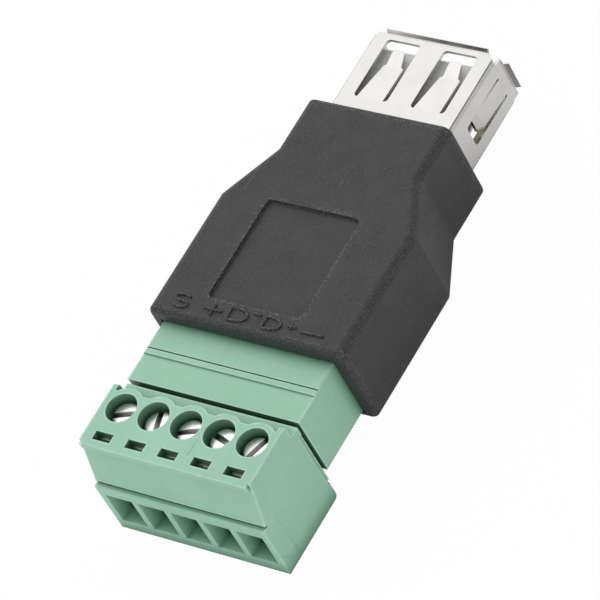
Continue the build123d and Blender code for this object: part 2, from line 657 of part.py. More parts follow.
# Plug contacts: a clamping bar with its test tab, a riser and a fork that grips the header pin.
leaf_x = PIN_SIZE / 2 + PIN_CLEARANCE + LEAF_THICK / 2
for number, x in enumerate(POLE_X, start=1):
    with BuildPart() as plug_contact:
        with Locations((x, behind((BAR_FRONT + BAR_BACK) / 2), bar_mid)):
            Box(BAR_WIDTH, BAR_FRONT - BAR_BACK, BAR_THICK)
        with Locations((x, tab_y, (bar_mid + test_floor + TAB_RISE) / 2)):
            Box(TAB_WIDTH, TAB_THICK, test_floor + TAB_RISE - bar_mid)
        with Locations((x, behind(BAR_BACK + BAR_THICK / 2), (bar_low + riser_top) / 2)):
            Box(BAR_WIDTH, BAR_THICK, riser_top - bar_low)
        with Locations(
            *[(x + side * leaf_x, behind((BAR_BACK - LEAF_REACH) / 2), HEADER_MID) for side in (1, -1)]
        ):
            Box(LEAF_THICK, BAR_BACK + LEAF_REACH, LEAF_HEIGHT)
    plug_contact.part.label = f"plug_contact_{number}"
    export_step(plug_contact.part, f"parts/plug_contact_{number}.step")


# Clamp screws: a slotted head on the ledge, with its slot at each screw's own rest angle.
for number, (x, angle) in enumerate(zip(POLE_X, SLOT_ANGLES), start=1):
    with BuildPart() as clamp_screw:
        with BuildSketch(Plane.XY.offset(head_seat)):
            with Locations((x, behind(WELL_Y))):
                Circle(HEAD_DIAMETER / 2)
        extrude(amount=HEAD_HEIGHT)
        fillet(clamp_screw.edges().sort_by(Axis.Z)[-1], HEAD_RADIUS)
        with BuildSketch(Plane.XY.offset(BAR_TOP + SHANK_END_GAP)):
            with Locations((x, behind(WELL_Y))):
                Circle(SHANK_DIAMETER / 2)
        extrude(amount=head_seat - BAR_TOP - SHANK_END_GAP)
        with Locations(Location((x, behind(WELL_Y), head_seat + HEAD_HEIGHT), (0, 0, angle))):
            Box(2 * HEAD_DIAMETER, SLOT_WIDTH, 2 * SLOT_DEPTH, mode=Mode.SUBTRACT)
    clamp_screw.part.label = f"clamp_screw_{number}"
    export_step(clamp_screw.part, f"parts/clamp_screw_{number}.step")


# Clamp cages: folded frames round the contact bars, open along Y for the wire.
cage_window_low = CAGE_BOTTOM + CAGE_FLOOR
cage_window_high = CAGE_BOTTOM + CAGE_HEIGHT - CAGE_TOP_WALL
for number, x in enumerate(POLE_X, start=1):
    with BuildPart() as clamp_cage:
        with BuildSketch(Plane.XZ.offset(-behind(WELL_Y + CAGE_LENGTH / 2))):
            with Locations((x, CAGE_BOTTOM + CAGE_HEIGHT / 2)):
                RectangleRounded(CAGE_WIDTH, CAGE_HEIGHT, CAGE_RADIUS)
            with Locations((x, (cage_window_low + cage_window_high) / 2)):
                Rectangle(
                    CAGE_WIDTH - 2 * CAGE_WALL,
                    cage_window_high - cage_window_low,
                    mode=Mode.SUBTRACT,
                )
        extrude(amount=-CAGE_LENGTH)
        with Locations((x, behind(WELL_Y), cage_window_high + CAGE_TOP_WALL / 2)):
            Cylinder(SHANK_DIAMETER / 2 + THREAD_CLEARANCE, 2 * CAGE_TOP_WALL, mode=Mode.SUBTRACT)
    clamp_cage.part.label = f"clamp_cage_{number}"
    export_step(clamp_cage.part, f"parts/clamp_cage_{number}.step")
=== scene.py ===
"""Dressed view of a USB socket to five-pole screw terminal adapter.

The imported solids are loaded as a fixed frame. Each sub-assembly class gives its solids their
finishes and adds the pieces that the solids leave out: raised terminal marks, threaded screws
and moulding lines.
"""

import logging
import math
from dataclasses import dataclass
from enum import Enum
from typing import Sequence

import bmesh
import bpy
import numpy as np
from mathutils import Matrix, Vector


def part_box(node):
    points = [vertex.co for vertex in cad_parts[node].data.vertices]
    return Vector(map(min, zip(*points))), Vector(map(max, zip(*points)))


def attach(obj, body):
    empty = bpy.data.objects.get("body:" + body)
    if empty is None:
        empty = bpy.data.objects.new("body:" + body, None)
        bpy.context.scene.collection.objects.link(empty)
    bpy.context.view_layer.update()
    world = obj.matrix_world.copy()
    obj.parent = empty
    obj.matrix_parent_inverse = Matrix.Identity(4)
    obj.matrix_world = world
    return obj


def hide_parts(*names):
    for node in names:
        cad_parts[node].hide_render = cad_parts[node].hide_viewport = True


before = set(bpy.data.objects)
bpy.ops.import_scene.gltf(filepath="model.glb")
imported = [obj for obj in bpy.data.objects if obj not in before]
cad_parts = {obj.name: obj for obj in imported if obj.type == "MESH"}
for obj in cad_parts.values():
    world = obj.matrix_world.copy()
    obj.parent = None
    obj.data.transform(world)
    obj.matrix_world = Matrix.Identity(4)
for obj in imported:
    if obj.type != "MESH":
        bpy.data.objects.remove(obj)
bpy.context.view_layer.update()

log = logging.getLogger("adapter")

MM = 0.001
Colour = tuple[float, float, float]
Point = tuple[float, float, float]
Span = tuple[float, float]
Socket = bpy.types.NodeSocket
Value = Socket | float
Tint = Socket | Colour

WHITE: Colour = (1, 1, 1)
AO_SAMPLES = 8
BEVEL_SAMPLES = 6

# Most values of a noise texture lie in this span.
NOISE_SPAN: Span = (0.3, 0.7)

# Socket numbers of a Mix node that mixes colours.
MIX_SHARE, MIX_FIRST, MIX_SECOND = 0, 6, 7
MIX_RESULT = 2


class Side(Enum):
    """Which way a feature faces across the width."""

    LEFT = -1
    RIGHT = 1


class Body(Enum):
    """The two large rigid bodies of the adapter."""

    ADAPTER = "adapter"
    PLUG = "plug"


def linear(red: float, green: float, blue: float) -> Colour:
    """Turn a screen colour into a linear one.

    Each channel c of 0 to 255 becomes ((c / 255 + 0.055) / 1.055) to the power 2.4, with the
    straight part of the curve below 0.04045.

    Args:
        red: Red channel from 0 to 255.
        green: Green channel from 0 to 255.
        blue: Blue channel from 0 to 255.

    Returns:
        The three linear channels from 0 to 1.
    """
    share = np.array([red, green, blue]) / 255
    bent = np.where(share <= 0.04045, share / 12.92, ((share + 0.055) / 1.055) ** 2.4)
    return tuple(float(c) for c in bent)


class NodeSheet:
    """A node tree, with one short method for each kind of node it uses."""

    def __init__(self, tree: bpy.types.NodeTree) -> None:
        """Take over a tree and empty it.

        Args:
            tree: The node tree of a material or a world.
        """
        self.tree = tree
        self.tree.nodes.clear()

    def join(self, source: Socket, target: Socket) -> None:
        """Link one socket to another.

        Args:
            source: The output socket.
            target: The input socket.
        """
        self.tree.links.new(source, target)

    def put(self, value: object, target: Socket) -> None:
        """Link a socket to an input, or set the input to a plain value.

        Args:
            value: A socket or a plain value.
            target: The input socket.
        """
        if isinstance(value, Socket):
            self.join(value, target)
        else:
            target.default_value = value

    def node(self, kind: str, **values: object) -> bpy.types.Node:
        """Add a node and set its own properties.

        Args:
            kind: The node's type name.
            values: Properties of the node and their values.

        Returns:
            The new node.
        """
        made = self.tree.nodes.new(kind)
        for name, value in values.items():
            setattr(made, name, value)
        return made

    def remap(self, value: Socket, span: Span, to: Span = (0, 1)) -> Socket:
        """Carry a value from one span to another, held at both ends.

        Args:
            value: The socket to carry over.
            span: Start and end of the span read.
            to: What the start and the end become.

        Returns:
            The carried value socket.
        """
        made = self.node("ShaderNodeMapRange", clamp=True)
        names = ("From Min", "From Max", "To Min", "To Max")
        for name, number in zip(names, (*span, *to)):
            made.inputs[name].default_value = number
        self.join(value, made.inputs["Value"])
        return made.outputs[0]

    def maths(self, operation: str, first: Value, second: Value) -> Socket:
        """Join two numbers or sockets by an operation of the Math node.

        Args:
            operation: The Math node's operation.
            first: A socket or a number.
            second: A socket or a number.

        Returns:
            The result socket.
        """
        made = self.node("ShaderNodeMath", operation=operation)
        self.put(first, made.inputs[0])
        self.put(second, made.inputs[1])
        return made.outputs[0]

    def mixed(self, share: Value, first: Tint, second: Tint) -> Socket:
        """Mix two colours.

        Args:
            share: Share of the second colour, a socket or a number.
            first: A colour or a colour socket.
            second: A colour or a colour socket.

        Returns:
            The mixed colour socket.
        """
        made = self.node("ShaderNodeMix", data_type="RGBA")
        self.put(share, made.inputs[MIX_SHARE])
        for place, tint in ((MIX_FIRST, first), (MIX_SECOND, second)):
            self.put(tint if isinstance(tint, Socket) else (*tint, 1), made.inputs[place])
        return made.outputs[MIX_RESULT]

    def seen(self, mirrored: Value) -> Socket:
        """Which rays see plain white: the camera's, those through clear parts, some mirrored.

        Args:
            mirrored: Share of the white that mirrored rays see, a socket or a number.

        Returns:
            The share socket.
        """
        rays = self.node("ShaderNodeLightPath").outputs
        share = self.maths("MULTIPLY", rays["Is Glossy Ray"], mirrored)
        share = self.maths("MAXIMUM", rays["Is Camera Ray"], share)
        return self.maths("MAXIMUM", rays["Is Transmission Ray"], share)


class ShaderSheet(NodeSheet):
    """The node tree of a new material with one Principled shader."""

    def __init__(self, name: str) -> None:
        """Make the material.

        Args:
            name: The material's name.
        """
        self.material = bpy.data.materials.new(name)
        self.material.use_nodes = True
        super().__init__(self.material.node_tree)
        self.output = self.node("ShaderNodeOutputMaterial")
        self.shader = self.node("ShaderNodeBsdfPrincipled")
        self.join(self.shader.outputs[0], self.output.inputs[0])
        self.place = self.node("ShaderNodeTexCoord").outputs["Object"]

    def stretched(self, scale: Point, turn: Point = (0, 0, 0)) -> Socket:
        """Object coordinates multiplied by a scale on each axis.

        Args:
            scale: The multiplier on X, Y and Z.
            turn: Rotation in radians before scaling.

        Returns:
            The vector socket.
        """
        mapping = self.node("ShaderNodeMapping")
        mapping.inputs["Scale"].default_value = scale
        mapping.inputs["Rotation"].default_value = turn
        self.join(self.place, mapping.inputs["Vector"])
        return mapping.outputs[0]

    def noise(
        self,
        grain: float,
        detail: float = 2.0,
        rough: float = 0.5,
        place: Socket | None = None,
    ) -> Socket:
        """Smooth noise with features about one grain wide.

        Args:
            grain: Size of a feature in millimetres.
            detail: Octaves of finer noise.
            rough: Strength of each finer octave.
            place: Coordinates, Object coordinates if left out.

        Returns:
            The noise value socket, about 0.5 on average.
        """
        made = self.node("ShaderNodeTexNoise")
        made.inputs["Scale"].default_value = 1 / (grain * MM)
        made.inputs["Detail"].default_value = detail
        made.inputs["Roughness"].default_value = rough
        self.join(place or self.place, made.inputs["Vector"])
        return made.outputs[0]

    def occlusion(self, reach: float, **values: object) -> Socket:
        """Share of the short rays from a point that meet a face.

        Args:
            reach: Length of the rays in millimetres.
            values: Properties of the Ambient Occlusion node.

        Returns:
            The share socket, 0 where nothing is met.
        """
        made = self.node("ShaderNodeAmbientOcclusion", samples=AO_SAMPLES, **values)
        made.inputs["Distance"].default_value = reach * MM
        return self.maths("SUBTRACT", 1.0, made.outputs["AO"])

    def hidden(self, reach: float) -> Socket:
        """Share of the open side that walls nearby hide.

        Args:
            reach: How near a wall counts, in millimetres.

        Returns:
            The share socket.
        """
        return self.occlusion(reach)

    def rims(self, reach: float) -> Socket:
        """Closeness to an outward edge, from rays that run inside the piece.

        Args:
            reach: How far from the edge it starts, in millimetres.

        Returns:
            The closeness socket, 0 away from edges and about 0.5 on one.
        """
        return self.occlusion(reach, inside=True, only_local=True)

    def rounded(self, radius: float) -> Socket:
        """Normals that bend round each edge.

        Args:
            radius: Radius of the bend in millimetres.

        Returns:
            The normal socket.
        """
        made = self.node("ShaderNodeBevel", samples=BEVEL_SAMPLES)
        made.inputs["Radius"].default_value = radius * MM
        return made.outputs[0]

    def edges(self, bent: Socket, span: Span) -> Socket:
        """How far the rounded normals lean away from the face's own, from 0 on flats to 1.

        Args:
            bent: The rounded normals.
            span: Lean at which the mask starts and at which it is full.

        Returns:
            The edge mask socket.
        """
        plain = self.node("ShaderNodeNewGeometry").outputs["Normal"]
        dot = self.node("ShaderNodeVectorMath", operation="DOT_PRODUCT")
        self.join(bent, dot.inputs[0])
        self.join(plain, dot.inputs[1])
        return self.remap(self.maths("SUBTRACT", 1.0, dot.outputs["Value"]), span)

    def bump(
        self,
        height: Socket,
        depth: float,
        strength: float,
        normal: Socket | None = None,
    ) -> Socket:
        """Bump from a height that is depth millimetres tall.

        Args:
            height: The height socket, 0 to 1.
            depth: Millimetres between 0 and 1.
            strength: Share of the bump that shows.
            normal: The normal it is added to.

        Returns:
            The bumped normal socket.
        """
        made = self.node("ShaderNodeBump")
        made.inputs["Strength"].default_value = strength
        made.inputs["Distance"].default_value = depth * MM
        self.join(height, made.inputs["Height"])
        if normal is not None:
            self.join(normal, made.inputs["Normal"])
        return made.outputs[0]

    def set(self, **values: object) -> None:
        """Set plain values on the Principled shader.

        Args:
            values: Values by socket name, with _ for a space in it.
        """
        for name, value in values.items():
            self.shader.inputs[name.replace("_", " ")].default_value = value

    def feed(self, name: str, source: Socket) -> None:
        """Feed one socket of the Principled shader.

        Args:
            name: The socket's name.
            source: What it is fed with.
        """
        self.join(source, self.shader.inputs[name])


@dataclass(frozen=True)
class SatinPlastic:
    """Injection-moulded plastic: a satin skin, faint flow marks, a painted highlight on the edges
    and painted shade in deep recesses.
    """

    name: str
    colour: Colour
    shade: Colour
    edge: Colour
    recess_shade: Colour
    roughness: Span = (0.36, 0.5)
    edge_radius: float = 0.14
    flow: float = 6.0
    flow_stretch: Point = (1, 0.35, 1)
    flow_span: Span = (0.35, 0.68)
    mottle: float = 0.9
    mottle_span: Span = (0.4, 0.75)
    mottle_share: float = 0.1
    rim_reach: float = 0.26
    rim_span: Span = (0.12, 0.42)
    highlight_breakup_span: Span = (0.3, 0.6)
    highlight_breakup_share: Span = (0.45, 0.95)
    recess_shade_reach: float = 3.0
    recess_shade_span: Span = (0.16, 0.68)
    skin_grain: float = 0.08
    skin_depth: float = 0.006
    wave_grain: float = 1.6
    wave_depth: float = 0.02
    bump_share: float = 0.35

    def material(self) -> bpy.types.Material:
        """Build the material.

        Returns:
            The finished material.
        """
        sheet = ShaderSheet(self.name)
        bent = sheet.rounded(self.edge_radius)
        flow = sheet.noise(self.flow, 3, place=sheet.stretched(self.flow_stretch))
        mottle = sheet.noise(self.mottle, 4)
        base = sheet.mixed(sheet.remap(flow, self.flow_span), self.shade, self.colour)
        pale = sheet.remap(mottle, self.mottle_span, (0, self.mottle_share))
        base = sheet.mixed(pale, base, self.edge)
        # Painted highlight: the pale edge colour is laid along outward edges, broken up by the
        # mottle.
        rim = sheet.remap(sheet.rims(self.rim_reach), self.rim_span)
        highlight_breakup = sheet.remap(mottle, self.highlight_breakup_span, self.highlight_breakup_share)
        base = sheet.mixed(sheet.maths("MULTIPLY", rim, highlight_breakup), base, self.edge)
        # Painted shade: the colour darkens toward the dark recess colour where nearby walls hide
        # the open side.
        deep = sheet.remap(sheet.hidden(self.recess_shade_reach), self.recess_shade_span)
        sheet.feed("Base Color", sheet.mixed(deep, base, self.recess_shade))
        sheet.feed("Roughness", sheet.remap(mottle, NOISE_SPAN, self.roughness))
        skin = sheet.noise(self.skin_grain, 2)
        skin = sheet.bump(skin, self.skin_depth, self.bump_share, bent)
        wave = sheet.noise(self.wave_grain, 2)
        sheet.feed("Normal", sheet.bump(wave, self.wave_depth, self.bump_share, skin))
        sheet.set(IOR=1.5)
        return sheet.material


@dataclass(frozen=True)
class GrainedPlastic:
    """Dark moulded plastic with a spark-eroded grain, light specks, hairline scratches and a
    painted highlight on its edges.
    """

    name: str
    colour: Colour
    speck: Colour
    edge: Colour
    pit: Colour
    roughness: Span = (0.45, 0.58)
    gloss: float = 0.38
    edge_radius: float = 0.1
    corner_highlight_span: Span = (0.03, 0.3)
    corner_highlight_share: float = 0.3
    grain: float = 0.14
    grain_depth: float = 0.02
    grain_bump: float = 0.8
    speck_span: Span = (0.52, 0.7)
    speck_share: float = 0.75
    pit_span: Span = (0.3, 0.46)
    pit_share: float = 0.6
    rim_reach: float = 0.95
    rim_span: Span = (0.03, 0.3)
    rim_highlight_share: float = 0.7
    rim_highlight_speck_span: Span = (0.52, 0.62)
    patch: float = 2.2
    patch_share: Span = (0.4, 1)
    patch_depth: float = 0.02
    patch_bump: float = 0.3
    hair: float = 0.5
    hair_stretch: Point = (1, 0.06, 1)
    hair_turn: Point = (0.5, 0.2, 0.7)
    hair_span: Span = (0.71, 0.74)
    hair_share: float = 0.22
    hair_patch_span: Span = (0.5, 0.62)

    def material(self) -> bpy.types.Material:
        """Build the material.

        Returns:
            The finished material.
        """
        sheet = ShaderSheet(self.name)
        bent = sheet.rounded(self.edge_radius)
        grain = sheet.noise(self.grain, 3, 0.6)
        patch = sheet.noise(self.patch, 3)
        specks = sheet.remap(grain, self.speck_span, (0, self.speck_share))
        patches = sheet.remap(patch, NOISE_SPAN, self.patch_share)
        base = sheet.mixed(sheet.maths("MULTIPLY", specks, patches), self.colour, self.speck)
        hair = sheet.noise(self.hair, 1, place=sheet.stretched(self.hair_stretch, self.hair_turn))
        hair = sheet.remap(hair, self.hair_span, (0, self.hair_share))
        broken = sheet.remap(patch, self.hair_patch_span)
        base = sheet.mixed(sheet.maths("MULTIPLY", hair, broken), base, self.edge)
        base = sheet.mixed(sheet.remap(grain, self.pit_span, (self.pit_share, 0)), base, self.pit)
        # Painted highlight over the real grain: specks near outward edges are lightened toward the
        # edge colour.
        rim = sheet.remap(sheet.rims(self.rim_reach), self.rim_span, (0, self.rim_highlight_share))
        rim_highlight_specks = sheet.maths("MULTIPLY", rim, sheet.remap(grain, self.rim_highlight_speck_span))
        base = sheet.mixed(rim_highlight_specks, base, self.edge)
        # Painted highlight: the rounded edges are lightened toward the edge colour.
        corner = sheet.maths("MULTIPLY", sheet.edges(bent, self.corner_highlight_span), self.corner_highlight_share)
        sheet.feed("Base Color", sheet.mixed(corner, base, self.edge))
        sheet.feed("Roughness", sheet.remap(patch, NOISE_SPAN, self.roughness))
        coarse = sheet.bump(patch, self.patch_depth, self.patch_bump, bent)
        sheet.feed("Normal", sheet.bump(grain, self.grain_depth, self.grain_bump, coarse))
        sheet.set(IOR=1.5, Specular_IOR_Level=self.gloss)
        return sheet.material


@dataclass(frozen=True)
class PlatedMetal:
    """Plated metal: a bright skin over rolled sheet, with fine drawing lines, soft dents and
    painted shade in tight hollows.
    """

    name: str
    colour: Colour
    dull: Colour
    roughness: float = 0.2
    smoother: float = 0.05
    rougher: float = 0.1
    cloud: float = 2.4
    cloud_span: Span = (0.4, 0.72)
    dull_share: float = 0.7
    lines: Point = (1.0, 0.05, 1.0)
    line_grain: float = 0.12
    line_depth: float = 0.003
    wave_grain: float = 3.0
    wave: float = 0.012
    bump_share: float = 0.5
    edge_radius: float = 0.05
    shade_in_hollows: float = 0.0
    hollow_shade_colour: Colour = (0.05, 0.045, 0.04)
    hollow_shade_reach: float = 0.6
    hollow_shade_span: Span = (0.3, 0.8)

    def material(self) -> bpy.types.Material:
        """Build the material.

        Returns:
            The finished material.
        """
        sheet = ShaderSheet(self.name)
        bent = sheet.rounded(self.edge_radius)
        cloud = sheet.noise(self.cloud, 3)
        drawn = sheet.noise(self.line_grain, 3, place=sheet.stretched(self.lines))
        clouds = sheet.remap(cloud, self.cloud_span, (0, self.dull_share))
        skin = sheet.mixed(clouds, self.colour, self.dull)
        # Painted shade: where nearby walls hide the open side, as in a screw's slot, the colour
        # darkens toward near black.
        if self.shade_in_hollows:
            hollow_shade_mask = sheet.remap(sheet.hidden(self.hollow_shade_reach), self.hollow_shade_span, (0, self.shade_in_hollows))
            skin = sheet.mixed(hollow_shade_mask, skin, self.hollow_shade_colour)
        sheet.feed("Base Color", skin)
        rough = (self.roughness - self.smoother, self.roughness + self.rougher)
        sheet.feed("Roughness", sheet.remap(cloud, NOISE_SPAN, rough))
        waves = sheet.bump(sheet.noise(self.wave_grain, 1), self.wave, self.bump_share, bent)
        sheet.feed("Normal", sheet.bump(drawn, self.line_depth, self.bump_share, waves))
        sheet.set(Metallic=1.0)
        return sheet.material


@dataclass(frozen=True)
class Laminate:
    """Glass-fibre board under a green solder mask, with the weave just showing."""

    name: str = "board_laminate"
    mask: Colour = (0.02, 0.16, 0.06)
    core: Colour = (0.36, 0.38, 0.2)
    roughness: Span = (0.22, 0.4)
    patch: float = 1.5
    weave_scale: float = 900
    weave_span: Span = (0.2, 0.9)
    weave_share: float = 0.12
    weave_depth: float = 0.01
    weave_bump: float = 0.3

    def material(self) -> bpy.types.Material:
        """Build the material.

        Returns:
            The finished material.
        """
        sheet = ShaderSheet(self.name)
        bands = sheet.node("ShaderNodeTexWave", wave_type="BANDS", bands_direction="DIAGONAL")
        bands.inputs["Scale"].default_value = self.weave_scale
        sheet.join(sheet.place, bands.inputs["Vector"])
        weave = bands.outputs["Fac"]
        share = sheet.remap(weave, self.weave_span, (0, self.weave_share))
        sheet.feed("Base Color", sheet.mixed(share, self.mask, self.core))
        sheet.feed("Roughness", sheet.remap(sheet.noise(self.patch), NOISE_SPAN, self.roughness))
        sheet.feed("Normal", sheet.bump(weave, self.weave_depth, self.weave_bump))
        return sheet.material


class Finishes:
    """Every finish of the adapter, built once."""

    def __init__(self) -> None:
        """Build the materials from their sizes and colours."""
        green = SatinPlastic(
            "green_plastic",
            colour=linear(158, 208, 181),
            shade=linear(151, 201, 174),
            # Colour of the painted highlight on edges, also used for the pale mottle.
            edge=linear(204, 238, 219),
            # Colour of the painted shade in recesses.
            recess_shade=linear(64, 112, 83),
        )
        white = SatinPlastic(
            "white_plastic",
            colour=linear(236, 236, 232),
            shade=linear(228, 228, 224),
            # Colour of the painted highlight on edges, also used for the pale mottle.
            edge=linear(244, 244, 240),
            # Colour of the painted shade in recesses.
            recess_shade=linear(214, 214, 208),
        )
        black = GrainedPlastic(
            "black_plastic",
            colour=linear(50, 50, 50),
            speck=linear(80, 80, 80),
            edge=linear(112, 112, 112),
            pit=linear(30, 30, 30),
        )
        shell = PlatedMetal(
            "nickel_shell",
            colour=(0.585, 0.57, 0.55),
            dull=(0.545, 0.545, 0.535),
        )
        gold = PlatedMetal(
            "contact_metal",
            colour=(0.74, 0.62, 0.38),
            dull=(0.62, 0.5, 0.3),
            wave=0.004,
        )
        tin = PlatedMetal(
            "pin_metal",
            colour=(0.78, 0.78, 0.77),
            dull=(0.66, 0.66, 0.65),
            roughness=0.3,
            wave=0.004,
        )
        screw = PlatedMetal(
            "screw_metal",
            colour=(0.93, 0.93, 0.92),
            dull=(0.85, 0.85, 0.84),
            roughness=0.3,
            lines=(1, 1, 0.2),
            line_grain=0.1,
            line_depth=0.006,
            wave=0.02,
            edge_radius=0.04,
            # Painted shade in the slot and in tight corners.
            shade_in_hollows=0.9,
        )
        cage = PlatedMetal(
            "cage_metal",
            colour=(0.74, 0.74, 0.73),
            dull=(0.6, 0.6, 0.59),
            roughness=0.28,
            wave=0.006,
        )
        chosen = (green, white, black, shell, gold, tin, screw, cage, Laminate())
        self.table = {finish.name: finish.material() for finish in chosen}

    def dress(self, node: str, slot: str) -> None:
        """Put a finish on a solid of the frame.

        Args:
            node: The solid's name.
            slot: The finish's name.
        """
        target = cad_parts[node]
        target.data.materials.clear()
        target.data.materials.append(self.table[slot])
        log.info("%s gets %s", node, slot)


def quads(rows: int, columns: int, wrap_rows: bool, wrap_columns: bool) -> np.ndarray:
    """Corner numbers of the faces of a grid.

    Face (i, j) joins the points (i, j), (i, j + 1), (i + 1, j + 1) and (i + 1, j), where a
    wrapped direction returns to 0 after its last point.

    Args:
        rows: Points along the first parameter.
        columns: Points along the second parameter.
        wrap_rows: Whether the first parameter closes on itself.
        wrap_columns: Whether the second parameter closes on itself.

    Returns:
        An array of four corner numbers for each face.
    """
    i, j = np.meshgrid(
        np.arange(rows if wrap_rows else rows - 1),
        np.arange(columns if wrap_columns else columns - 1),
        indexing="ij",
    )
    up, over = (i + 1) % rows, (j + 1) % columns
    near, far = i * columns, up * columns
    return np.stack([near + j, near + over, far + over, far + j], axis=-1).reshape(-1, 4)


def placed(name: str, data: bpy.types.ID) -> bpy.types.Object:
    """Make an object and put it in the scene.

    Args:
        name: The object's name.
        data: Its mesh, lamp or camera.

    Returns:
        The new object.
    """
    made = bpy.data.objects.new(name, data)
    bpy.context.scene.collection.objects.link(made)
    return made


def piece(
    name: str,
    grids: Sequence[np.ndarray],
    material: bpy.types.Material,
    weld: float = 0.0005,
    smooth: float = 35.0,
) -> bpy.types.Object:
    """Make one closed mesh object from grids of points.

    Every grid has the shape rows, columns, 3 in millimetres. Its columns close on themselves,
    and its first and last rows are closed by a flat face each.

    Args:
        name: The object's name.
        grids: The point grids.
        material: The finish.
        weld: Points closer than this many millimetres are joined.
        smooth: Edges bent less than this many degrees are shaded smooth.

    Returns:
        The new object.
    """
    points, faces, start = [], [], 0
    for grid in grids:
        rows, columns = grid.shape[:2]
        points.append(grid.reshape(-1, 3))
        faces.extend((quads(rows, columns, False, True) + start).tolist())
        faces.append((np.arange(columns)[::-1] + start).tolist())
        faces.append((np.arange(columns) + start + (rows - 1) * columns).tolist())
        start += rows * columns
    mesh = bpy.data.meshes.new(name)
    mesh.from_pydata((np.concatenate(points) * MM).tolist(), [], faces)
    work = bmesh.new()
    work.from_mesh(mesh)
    bmesh.ops.remove_doubles(work, verts=work.verts, dist=weld * MM)
    bmesh.ops.dissolve_degenerate(work, dist=weld * MM / 2, edges=work.edges)
    bmesh.ops.recalc_face_normals(work, faces=work.faces)
    work.to_mesh(mesh)
    work.free()
    mesh.materials.append(material)
    mesh.shade_smooth()
    mesh.set_sharp_from_angle(angle=math.radians(smooth))
    return placed(name, mesh)


def swept(path: np.ndarray, profile: np.ndarray, up: Point) -> np.ndarray:
    """Carry a flat profile along a path.

    At each point the profile's first axis lies along up crossed with the path's direction, and
    its second along up. The direction is the difference of the neighbouring points.

    Args:
        path: Points of the path, shape n, 3, in millimetres.
        profile: Points of the profile, shape m, 2.
        up: The direction of the profile's second axis.

    Returns:
        A grid of shape n, m, 3.
    """
    along = np.gradient(path, axis=0)
    along /= np.linalg.norm(along, axis=1, keepdims=True)
    rise = np.broadcast_to(np.array(up, float), along.shape)
    across = np.cross(rise, along)
    across /= np.linalg.norm(across, axis=1, keepdims=True)
    flat = profile[None]
    return path[:, None] + flat[..., :1] * across[:, None] + flat[..., 1:] * rise[:, None]


def ridge_profile(width: float, height: float, sunk: float, count: int = 9) -> np.ndarray:
    """A rounded ridge: half a superellipse above the surface and a foot sunk below it.

    The crown is width / 2 times cos t to the power 0.5 across and height times sin t to the
    power 0.5 up, for t from 0 to pi.

    Args:
        width: Width of the ridge.
        height: How far it stands out.
        sunk: How deep its foot lies under the surface.
        count: Points on the crown.

    Returns:
        The closed profile, shape count + 2, 2.
    """
    turn = np.linspace(0, math.pi, count)
    across = np.sign(np.cos(turn)) * np.abs(np.cos(turn)) ** 0.5 * width / 2
    rise = np.sin(turn) ** 0.5 * height
    foot = np.array([[-width / 2, -sunk], [width / 2, -sunk]])
    return np.concatenate([np.stack([across, rise], axis=1), foot])


def straight(start: Point, end: Point, count: int = 6) -> np.ndarray:
    """Evenly spaced points on a straight line.

    Args:
        start: The first point.
        end: The last point.
        count: How many points.

    Returns:
        The points, both ends included.
    """
    share = np.linspace(0, 1, count)[:, None]
    return np.array(start) * (1 - share) + np.array(end) * share


